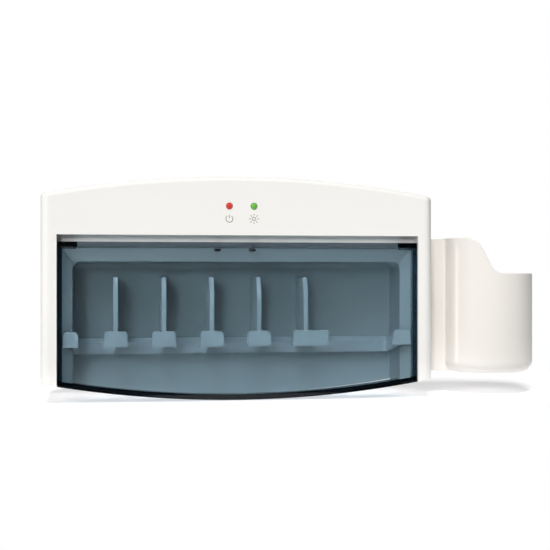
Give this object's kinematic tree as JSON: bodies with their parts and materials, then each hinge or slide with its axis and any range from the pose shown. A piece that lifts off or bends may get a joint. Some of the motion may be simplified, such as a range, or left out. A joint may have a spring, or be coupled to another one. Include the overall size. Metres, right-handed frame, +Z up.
{
  "type": "toothbrush sterilizer",
  "caption": "Wall-hung toothbrush sterilizer with a white case, a smoked door over a brush rack under a germicidal lamp, and a removable side cup",
  "frame": {"origin": "centre of the wall face, half way up the straight sides and half way across the case without the cup", "axes": "+X towards the cup, +Y into the wall, +Z up"},
  "size_m": [0.3815, 0.0812, 0.164],
  "materials": {
    "white_case": "polished moulding",
    "smoked_acrylic": "clear smoked sheet",
    "liner_grey": "satin moulding",
    "rack_grey": "satin moulding",
    "zinc_steel": "zinc plated",
    "black_nylon": "moulded",
    "red_lens": "tinted epoxy",
    "green_lens": "tinted epoxy",
    "quartz_tube": "clear quartz",
    "lamp_aluminium": "pressed cap",
    "bright_aluminium": "anodised sheet",
    "socket_white": "moulded",
    "board_green": "solder mask",
    "coil_yellow": "taped winding",
    "capacitor_blue": "shrink sleeve",
    "wire_insulation": "soft insulation"
  },
  "bodies": {
    "case": {"back_plate": "white_case", "ballast_coil": "coil_yellow", "board_screws": "zinc_steel", "brush_rack": "rack_grey", "case_screws": "zinc_steel", "control_board": "board_green", "cup_rail": "white_case", "door_switch_left": "black_nylon", "door_switch_right": "black_nylon", "filter_capacitors": "capacitor_blue", "front_housing": "white_case", "green_led": "green_lens", "inlet_jack": "black_nylon", "inner_liner": "liner_grey", "lamp_cap_left": "lamp_aluminium", "lamp_cap_right": "lamp_aluminium", "lamp_reflector": "bright_aluminium", "lamp_socket_left": "socket_white", "lamp_socket_right": "socket_white", "lamp_tube": "quartz_tube", "lead_wires": "wire_insulation", "liner_screws": "zinc_steel", "rack_screws": "zinc_steel", "rail_screws": "zinc_steel", "red_led": "red_lens"},
    "door_body": {"door": "smoked_acrylic", "hinge_pin_left": "zinc_steel", "hinge_pin_right": "zinc_steel"},
    "plunger_left": {"switch_plunger_left": "black_nylon"},
    "plunger_right": {"switch_plunger_right": "black_nylon"},
    "cup": {"cup_holder": "white_case"}
  },
  "joints": [
    {"name": "door_hinge", "type": "hinge", "parent": "case", "child": "door_body", "pos_m": [0, -0.0745, 0.0313], "axis": [-1, 0, 0], "range_deg": [0, 95]},
    {"name": "left_plunger", "type": "slide", "parent": "case", "child": "plunger_left", "axis": [0, -1, 0], "range_m": [0, 0.0012]},
    {"name": "right_plunger", "type": "slide", "parent": "case", "child": "plunger_right", "axis": [0, -1, 0], "range_m": [0, 0.0012]},
    {"name": "cup_lift", "type": "slide", "parent": "case", "child": "cup", "axis": [0, 0, 1], "range_m": [0, 0.062]}
  ],
  "couplings": [
    {"joint": "left_plunger", "follows": "door_hinge", "m_per_rad": 0.0007},
    {"joint": "right_plunger", "follows": "door_hinge", "m_per_rad": 0.0007}
  ]
}
